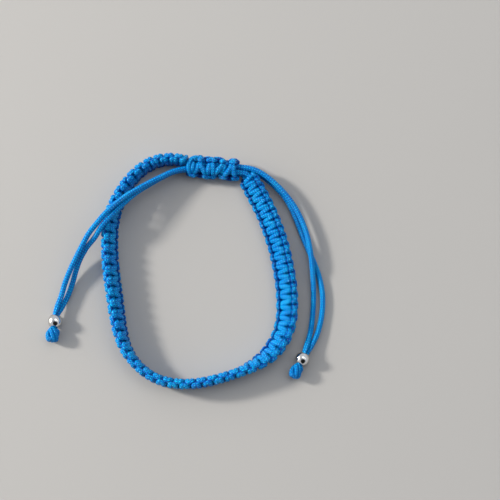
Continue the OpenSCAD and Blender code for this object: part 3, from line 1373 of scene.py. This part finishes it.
@dataclass
class Bead(EndPiece):
    """A round steel bead with a straight hole whose rims are rounded.

    Attributes:
        rim: Radius of the rims' rounding.
        outside: Points on the outside, from rim to rim.
        corners: Points on a rim.
        inside: Points on the hole's wall.
        turns: Copies of the profile round the axis.
    """

    rim: float = 0.12
    outside: int = 40
    corners: int = 4
    inside: int = 10
    turns: int = 72

    def profile(self) -> Array:
        """Outline of the wall from hole to outside and back, as distance from the axis and along it.

        The outside is the arc R (sin a, cos a), the rims are small arcs and the hole is straight.

        Returns:
            A closed ring of points.
        """
        radius, hole, rim = BEAD_D / 2, BEAD_HOLE / 2, self.rim
        start = math.asin((hole + rim) / radius)
        a = np.linspace(start, math.pi - start, self.outside)
        outside = np.stack([np.sin(a), np.cos(a)], 1) * radius
        lip = math.sqrt(radius**2 - (hole + rim) ** 2)
        b = np.linspace(math.pi / 2, 0, self.corners + 2)[1:-1]
        lower = np.stack([hole + rim * (1 - np.cos(b)), rim * (1 - np.sin(b)) - lip], 1)
        upper = lower[::-1] * (1, -1)
        wall = np.linspace(rim - lip, lip - rim, self.inside)
        inside = np.stack([np.full(self.inside, hole), wall], 1)
        return np.concatenate([outside, lower, inside, upper])

    def build(self) -> bpy.types.Object:
        """Turns the profile round the hole's axis.

        Returns:
            The piece.
        """
        ring = self.profile()
        count, turns = len(ring), self.turns
        middle, way, side, up = self.place.axes()
        angle = np.arange(turns) * (2 * math.pi / turns)
        radial = side * np.cos(angle)[:, None] + up * np.sin(angle)[:, None]
        points = middle + radial[:, None] * ring[None, :, :1] + way * ring[None, :, 1:]
        i, j = (x.ravel() for x in np.meshgrid(np.arange(turns), np.arange(count), indexing="ij"))
        i2, j2 = (i + 1) % turns, (j + 1) % count
        quads = np.stack([i * count + j, i2 * count + j, i2 * count + j2, i * count + j2], 1)
        mesh = bpy.data.meshes.new(self.name)
        mesh.from_pydata((points.reshape(-1, 3) * MM).tolist(), [], quads.tolist())
        mesh.shade_smooth()
        return attach(placed(self.name, mesh), Slot.STEEL, self.finish, self.node)


@dataclass
class EndKnot(EndPiece):
    """The overhand knot of two cords that keeps a bead on.

    Attributes:
        girth: The knot's girth, as a share of the usual one.
        near, far: Where it starts and ends, from the bead's middle along the hole.
        cord_size: Half width and half thickness of a cord.
        apart: Distance of each cord from the middle line of the two.
        loop: Usual radius of the loops' circle.
        widening: How much wider the knot is for each step away from the bead.
        turn: Angles at which the line starts and ends, in degrees.
        rings, sides: Rings of a cord, and points on a ring.
        hole_reach: How far the squeezed cords stand out of the hole.
        hole_wide: Half width of a squeezed cord.
        hole_rings, hole_sides: Its rings, and points on a ring.
        cells: Width of a knotted and of a squeezed cord's part of the bake map.
    """

    girth: float = 1.0
    near: float = 1.75
    far: float = 5.85
    cord_size: tuple[float, float] = (0.60, 0.62)
    apart: float = 0.42
    loop: float = 0.58
    widening: float = 0.10
    turn: tuple[float, float] = (-50, 290)
    rings: int = 150
    sides: int = 18
    hole_reach: float = 1.2
    hole_wide: float = 0.82
    hole_rings: int = 24
    hole_sides: int = 14
    cells: tuple[float, float] = (0.35, 0.15)

    def path(self) -> Array:
        """Middle line of the pair of cords.

        The line is an open trefoil: at angle t it lies at distance R + R cos(3t) from the hole's
        axis, at angle 2t round it, and at a sin(3t) along it, and it widens away from the bead.

        Returns:
            Points from the knot's middle, along the hole, level across it and up.
        """
        t = np.radians(np.linspace(*self.turn, self.rings))
        reach = (self.far - self.near) / 2 - self.cord_size[1]
        along = reach * np.sin(3 * t)
        radius = self.loop * self.girth * (1 + np.cos(3 * t)) * (1 + self.widening * along)
        return np.stack([along, radius * np.cos(2 * t), radius * np.sin(2 * t)], 1)

    def knotted(self, level: int) -> Tube:
        """One of the knot's two cords, which lie side by side and face out from its middle.

        Args:
            level: 1 or -1 for the cord.

        Returns:
            The cord with round tips.
        """
        middle, *ways = self.place.axes()
        basis = np.stack(ways)
        centre = middle + ways[0] * (self.near + self.far) / 2
        line = self.path()
        tangent = unit(np.gradient(line, axis=0))
        out = unit(line - (line * tangent).sum(1)[:, None] * tangent)
        local = line + np.cross(out, tangent) * self.apart * level
        wide, thick = (np.full(len(line), size) for size in self.cord_size)
        return Tube(centre + local @ basis, out @ basis, wide, thick).rounded()

    def squeezed(self, level: int) -> Tube:
        """One of the two cords in the bead's hole, from its middle into the knot.

        Args:
            level: 1 for the upper cord and -1 for the lower.

        Returns:
            The cord with flat ends.
        """
        steps = np.linspace(0.0, BEAD_D / 2 + self.hole_reach, self.hole_rings)
        points = np.array([self.place.pair(u, level, IN_HOLE_OFF) for u in steps])
        axis = np.array([self.place.pair(u, level, 0.0) for u in steps])
        wide, thick = (np.full(len(steps), size) for size in (self.hole_wide, IN_HOLE_THICK))
        return Tube(points, points - axis, wide, thick)

    def build(self) -> bpy.types.Object:
        """Makes the knot and the squeezed cords in the bead's hole.

        Returns:
            The piece.
        """
        skin = Skin(self.name)
        wide, narrow = self.cells
        for i, level in enumerate((-1, 1)):
            skin.tube(self.knotted(level), self.sides, (wide * i, 0, wide, 1))
        for i, level in enumerate((-1, 1)):
            skin.tube(self.squeezed(level), self.hole_sides, (2 * wide + narrow * i, 0, narrow, 1))
        return attach(skin.piece(), Slot.CORD, self.finish, self.node)


@dataclass
class CordTail(EndPiece):
    """One free core end, from the sliding knot's mouth into its bead.

    Attributes:
        side: Which end of the sliding knot it leaves.
        level: 1 for the upper cord of the pair and -1 for the lower.
        route: Route points from the part's source.
        on_it: The pieces that it carries. Not used.
        hidden: Length of it inside the sliding knot.
        outside: Where it is still straight outside a mouth, and before the bead.
        squeeze: Distances from its far end where the squeeze starts and is complete.
        squeezed_wide: Half width of it in the bead's hole.
        step: Spacing of its rings.
        sides: Points on a ring.
    """

    side: Side
    level: int
    route: Sequence[tuple[float, float, float]]
    on_it: Sequence[bpy.types.Object] = ()
    hidden: float = 0.6
    outside: float = 0.1
    squeeze: tuple[float, float] = (6.0, 1.7)
    squeezed_wide: float = 0.84
    step: float = 0.16
    sides: int = 24

    def tube(self) -> Tube:
        """The cord's rings: round, then squeezed to half the hole where it enters the bead.

        The squeeze grows from 0 to 1 as q^2 (3 - 2 q), with q the share of its stretch gone by.

        Returns:
            The cord with flat ends.
        """
        v, w = self.side.value * CORE_OFF, self.level * CORE_OFF
        mouth = SLIDE_LEN if self.side is Side.RIGHT else 0.0
        rows = [
            SlidingKnot.point(mouth - self.side.value * self.hidden, v, w),
            SlidingKnot.point(mouth + self.side.value * self.outside, v, w),
            *map(np.array, self.route),
            self.place.pair(-BEAD_D / 2 - self.outside, self.level, BEFORE_HOLE_OFF),
            self.place.pair(0.0, self.level, IN_HOLE_OFF),
        ]
        line = evenly(np.array(rows), self.step)
        run = run_lengths(line)
        start, complete = self.squeeze
        q = np.clip((start - (run[-1] - run)) / (start - complete), 0, 1)
        squeeze = q * q * (3 - 2 * q)
        pinch_way = (self.place.pair(0, self.level, 1) - self.place.pair(0, self.level, 0)) * self.level
        up = np.array([0.0, 0, 1])
        out = up * (1 - squeeze[:, None]) + pinch_way * squeeze[:, None]
        wide, thick = (
            CORD_D / 2 + (size - CORD_D / 2) * squeeze for size in (self.squeezed_wide, IN_HOLE_THICK)
        )
        return Tube(line, out, wide, thick)

    def build(self) -> bpy.types.Object:
        """Makes the cord.

        Returns:
            The piece.
        """
        tube = self.tube()
        skin = Skin(self.name)
        skin.tube(tube, self.sides)
        piece = attach(skin.piece(), Slot.CORD, self.finish, self.node)
        tuple(tube.centre[0] * MM)
        (tube.centre * MM).tolist()
        return piece


@dataclass(frozen=True)
class Patch:
    """A soft round patch of the world that lights and shows in the gloss.

    Attributes:
        way: Direction of its middle.
        half_angle: Its reach from there, in degrees.
        edge: Softness of its edge, as a difference of cosines.
        colour: Its colour.
    """

    way: tuple[float, float, float]
    half_angle: float
    edge: float
    colour: tuple[float, float, float]


@dataclass(frozen=True)
class Lamp:
    """A square area light that points at the target.

    Attributes:
        name: The light's name.
        azimuth: Where it stands, in degrees from +X towards +Y.
        elevation: Its height above the floor, in degrees.
        distance: From the target, in metres.
        size: Side of the square, in metres.
        power: Watts.
        colour: Light colour.
    """

    name: str
    azimuth: float
    elevation: float
    distance: float
    size: float
    power: float
    colour: tuple[float, float, float]


@dataclass(frozen=True)
class Studio:
    """Camera, floor and soft light, in metres.

    Attributes:
        target: The point in the middle of the picture.
        elevation: The camera's angle above the floor, in degrees.
        distance: From the camera to the target.
        field: Width of what the picture shows at that distance.
        sensor: Width of the camera's sensor, in millimetres.
        clip: Nearest and furthest distance that shows.
        floor_half: Half the floor's side.
        sky: Colour of the world between the patches.
        sky_strength: The world's strength.
        patches: The world's patches, each drawn over the ones before.
        wobble: Scale and detail of the noise that makes their edges uneven, and its reach.
        lamps: The lights.
    """

    target: tuple[float, float, float] = (0.0140, 0.0058, 0.0020)
    elevation: float = 80.0
    distance: float = 0.300
    field: float = 0.140
    sensor: float = 36.0
    clip: tuple[float, float] = (0.01, 20.0)
    floor_half: float = 1.5
    sky: tuple[float, float, float] = (0.86, 0.91, 1.0)
    sky_strength: float = 0.76
    patches: tuple[Patch, ...] = (
        Patch((0.0, -0.17, 0.98), 38.0, 0.20, (0.40, 0.44, 0.50)),
        Patch((0.12, -0.72, 0.68), 41.0, 0.08, (0.02, 0.02, 0.02)),
        Patch((0.58, 0.05, 0.80), 17.0, 0.03, (2.6, 2.6, 2.6)),
        Patch((-0.95, 0.12, 0.28), 34.0, 0.12, (3.4, 3.3, 3.1)),
    )
    wobble: tuple[float, float, float] = (4.0, 1.0, 0.35)
    lamps: tuple[Lamp, ...] = (
        Lamp("key_light", 164, 27, 1.1, 0.14, 12.8, (1.0, 0.96, 0.90)),
        Lamp("top_light", 60, 70, 0.9, 0.5, 1.0, (1.0, 1.0, 1.0)),
    )

    def aim(self, thing: bpy.types.Object, back: Vector, distance: float) -> None:
        """Puts a thing at a distance back from the target and points it there."""
        thing.location = Vector(self.target) + back * distance
        thing.rotation_euler = (-back).to_track_quat("-Z", "Y").to_euler()

    def camera(self) -> None:
        """Places the camera at the photograph's angle."""
        data = bpy.data.cameras.new("camera")
        camera = placed("camera", data)
        e = math.radians(self.elevation)
        self.aim(camera, Vector((0, -math.cos(e), math.sin(e))), self.distance)
        data.sensor_width = self.sensor
        data.lens = self.sensor * self.distance / self.field
        data.clip_start, data.clip_end = self.clip
        bpy.context.scene.camera = camera

    def floor(self) -> None:
        """Lays a wide pale floor under the bracelet."""
        half = self.floor_half
        mesh = bpy.data.meshes.new("floor")
        corners = [(-half, -half, 0), (half, -half, 0), (half, half, 0), (-half, half, 0)]
        mesh.from_pydata(corners, [], [(0, 1, 2, 3)])
        mesh.materials.append(FloorFinish().make())
        placed("floor", mesh)

    def world(self) -> None:
        """Gives a soft fill from all round, brighter and darker in patches."""
        scene = bpy.context.scene
        scene.view_settings.view_transform = "Standard"
        scene.world = bpy.data.worlds.new("soft_fill")
        scene.world.use_nodes = True
        background = scene.world.node_tree.nodes["Background"]
        sky = Nodes(scene.world.node_tree)
        way = sky.node("ShaderNodeTexCoord", {}, {}).outputs["Generated"]
        scale, detail, reach = self.wobble
        uneven = (sky.noise(way, scale, detail) - 0.5) * reach
        colour: Any = (*self.sky, 1)
        for patch in self.patches:
            dot = sky.node("ShaderNodeVectorMath", {"operation": "DOT_PRODUCT"}, {0: way, 1: patch.way})
            edge_cosine = math.cos(math.radians(patch.half_angle))
            inside = (Value(sky, dot.outputs["Value"]) + uneven - edge_cosine) / patch.edge
            colour = sky.mix(inside.clamped(), colour, (*patch.colour, 1))
        sky.put(background.inputs["Color"], colour)
        sky.put(background.inputs["Strength"], self.sky_strength)

    def light(self) -> None:
        """Lights the bracelet from the left at a low angle, with a weaker light from above."""
        for lamp in self.lamps:
            data = bpy.data.lights.new(lamp.name, "AREA")
            data.size, data.energy, data.color = lamp.size, lamp.power, lamp.colour
            a, e = math.radians(lamp.azimuth), math.radians(lamp.elevation)
            back = Vector((math.cos(a) * math.cos(e), math.sin(a) * math.cos(e), math.sin(e)))
            self.aim(placed(lamp.name, data), back, lamp.distance)


def main() -> None:
    """Builds and reports the pieces from the beads to the closure, between camera and lights."""
    logging.basicConfig(level=logging.INFO, format="%(message)s")
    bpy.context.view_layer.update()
    studio = Studio()
    studio.camera()
    cord = BraidedCordFinish().make()
    # Copy of the cord finish for the knotted cords, with painted shade between cords and painted light on
    # their outward faces.
    tied = BraidedCordFinish(name="blue_braided_cord_tied", weave_highlight=0.50, contact_shade=0.80).make()
    steel = SteelFinish().make()
    ends: dict[Side, list[bpy.types.Object]] = {}
    for side, place, girth in ((Side.LEFT, BEAD_LEFT, 1.06), (Side.RIGHT, BEAD_RIGHT, 0.92)):
        word = side.name.lower()
        ends[side] = [
            Bead(f"steel_bead_{word}", f"bead_{word}", place, steel).build(),
            EndKnot(f"overhand_knot_{word}", f"end_knot_{word}", place, cord, girth).build(),
        ]
    for side, level, route, place in (
        (Side.LEFT, 1, TAIL_LEFT_UPPER, BEAD_LEFT),
        (Side.LEFT, -1, TAIL_LEFT_LOWER, BEAD_LEFT),
        (Side.RIGHT, 1, TAIL_RIGHT_UPPER, BEAD_RIGHT),
        (Side.RIGHT, -1, TAIL_RIGHT_LOWER, BEAD_RIGHT),
    ):
        node = f"tail_{side.name.lower()}_{'upper' if level == 1 else 'lower'}"
        on_it = ends[side] if level == 1 else ()
        CordTail(f"cord_{node}", node, place, cord, side, level, route, on_it).build()
    band = MacrameBand(tied)
    band.build()
    CorePairs(cord, band).build()
    SlidingKnot(tied).build()
    studio.floor()
    studio.world()
    studio.light()


if __name__ == "__main__":
    main()
